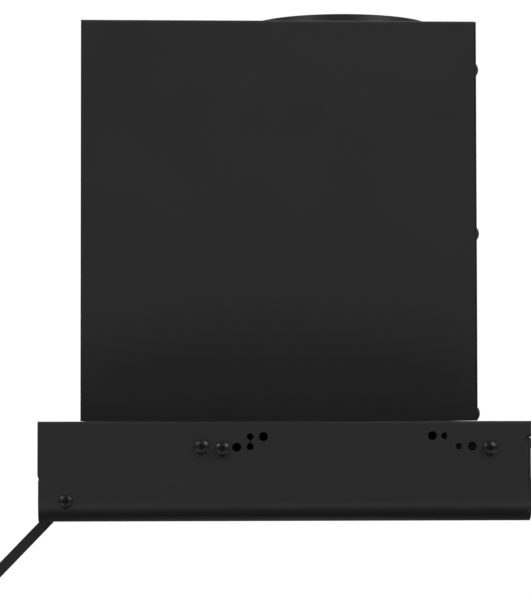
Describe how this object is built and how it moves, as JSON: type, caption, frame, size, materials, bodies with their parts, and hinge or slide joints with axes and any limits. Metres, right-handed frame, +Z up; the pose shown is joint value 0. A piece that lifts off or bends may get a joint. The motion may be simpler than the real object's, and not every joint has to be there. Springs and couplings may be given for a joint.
{
  "type": "range hood",
  "caption": "Built-in range hood with a folded sheet canopy, raised blower housing, round outlet collar and a fold-down smoke visor.",
  "frame": {"origin": "centre of the canopy's bottom plane, midway between the side skirts and between front and rear", "axes": "+X to the hood's right-hand side as drawn, across the width; +Y to the rear; +Z up"},
  "size_m": [0.5254, 0.4667, 0.5142],
  "materials": {
    "painted_sheet": "satin powder coat",
    "visor_rim": "dark anodised",
    "zinc_steel": "zinc plated",
    "black_screw": "black zinc",
    "shaft_steel": "ground",
    "filter_aluminium": "satin",
    "black_plastic": "fine grain",
    "white_plastic": "matt",
    "button_grey": "semi gloss",
    "lamp_lens": "frosted",
    "smoked_glass": "toughened, smoked",
    "motor_alloy": "die cast"
  },
  "bodies": {
    "hood": {"canopy_shell": "painted_sheet", "canopy_rear_panel": "painted_sheet", "side_rail_right": "painted_sheet", "side_rail_left": "painted_sheet", "suction_frame": "painted_sheet", "filter_frame_right": "filter_aluminium", "filter_mesh_right": "filter_aluminium", "lamp_body_right": "zinc_steel", "lamp_lens_right": "lamp_lens", "pivot_bush_right": "black_plastic", "pivot_screw_right": "black_screw", "side_screw_right_1": "black_screw", "side_screw_right_2": "black_screw", "side_screw_right_3": "black_screw", "cover_screw_right_1": "black_screw", "cover_screw_right_2": "black_screw", "cover_screw_right_3": "black_screw", "filter_frame_left": "filter_aluminium", "filter_mesh_left": "filter_aluminium", "lamp_body_left": "zinc_steel", "lamp_lens_left": "lamp_lens", "pivot_bush_left": "black_plastic", "pivot_screw_left": "black_screw", "side_screw_left_1": "black_screw", "side_screw_left_2": "black_screw", "side_screw_left_3": "black_screw", "cover_screw_left_1": "black_screw", "cover_screw_left_2": "black_screw", "cover_screw_left_3": "black_screw", "control_strip": "painted_sheet", "switch_block": "black_plastic", "motor_housing": "painted_sheet", "rear_cover": "painted_sheet", "scroll_band": "zinc_steel", "scroll_side_right": "zinc_steel", "scroll_side_left": "zinc_steel", "motor_body": "motor_alloy", "motor_bracket": "zinc_steel", "outlet_collar": "black_plastic", "capacitor": "white_plastic", "junction_box": "black_plastic", "junction_lid": "black_plastic", "cable_gland": "black_plastic", "terminal_block": "white_plastic"},
    "visor": {"visor_frame": "visor_rim", "visor_glass": "smoked_glass"},
    "blower_wheel": {"impeller": "motor_alloy", "motor_shaft": "shaft_steel"},
    "flap_front": {"damper_flap_front": "black_plastic"},
    "flap_rear": {"damper_flap_rear": "black_plastic"},
    "latch_right": {"filter_latch_right": "black_plastic"},
    "latch_left": {"filter_latch_left": "black_plastic"},
    "push_1": {"button_1": "button_grey"},
    "push_2": {"button_2": "button_grey"},
    "push_3": {"button_3": "button_grey"},
    "push_4": {"button_4": "button_grey"},
    "push_5": {"button_5": "button_grey"}
  },
  "joints": [
    {"name": "visor_hinge", "type": "hinge", "parent": "hood", "child": "visor", "pos_m": [0, -0.1312, 0.012], "axis": [1, 0, 0], "range_deg": [0, 134]},
    {"name": "blower_spin", "type": "hinge", "parent": "hood", "child": "blower_wheel", "pos_m": [0, 0.004, 0.172], "axis": [1, 0, 0], "continuous": true},
    {"name": "flap_front_hinge", "type": "hinge", "parent": "hood", "child": "flap_front", "pos_m": [0, 0.048, 0.3116], "axis": [-1, 0, 0], "range_deg": [0, 75]},
    {"name": "flap_rear_hinge", "type": "hinge", "parent": "hood", "child": "flap_rear", "pos_m": [0, 0.0552, 0.3116], "axis": [1, 0, 0], "range_deg": [0, 75]},
    {"name": "latch_right_slide", "type": "slide", "parent": "hood", "child": "latch_right", "axis": [0, 1, 0], "range_m": [0, 0.0042], "stiffness_N_per_m": 200},
    {"name": "latch_left_slide", "type": "slide", "parent": "hood", "child": "latch_left", "axis": [0, 1, 0], "range_m": [0, 0.0042], "stiffness_N_per_m": 200},
    {"name": "button_1_press", "type": "slide", "parent": "hood", "child": "push_1", "axis": [0, 1, 0], "range_m": [0, 0.0016], "stiffness_N_per_m": 300},
    {"name": "button_2_press", "type": "slide", "parent": "hood", "child": "push_2", "axis": [0, 1, 0], "range_m": [0, 0.0016], "stiffness_N_per_m": 300},
    {"name": "button_3_press", "type": "slide", "parent": "hood", "child": "push_3", "axis": [0, 1, 0], "range_m": [0, 0.0016], "stiffness_N_per_m": 300},
    {"name": "button_4_press", "type": "slide", "parent": "hood", "child": "push_4", "axis": [0, 1, 0], "range_m": [0, 0.0016], "stiffness_N_per_m": 300},
    {"name": "button_5_press", "type": "slide", "parent": "hood", "child": "push_5", "axis": [0, 1, 0], "range_m": [0, 0.0016], "stiffness_N_per_m": 300}
  ]
}
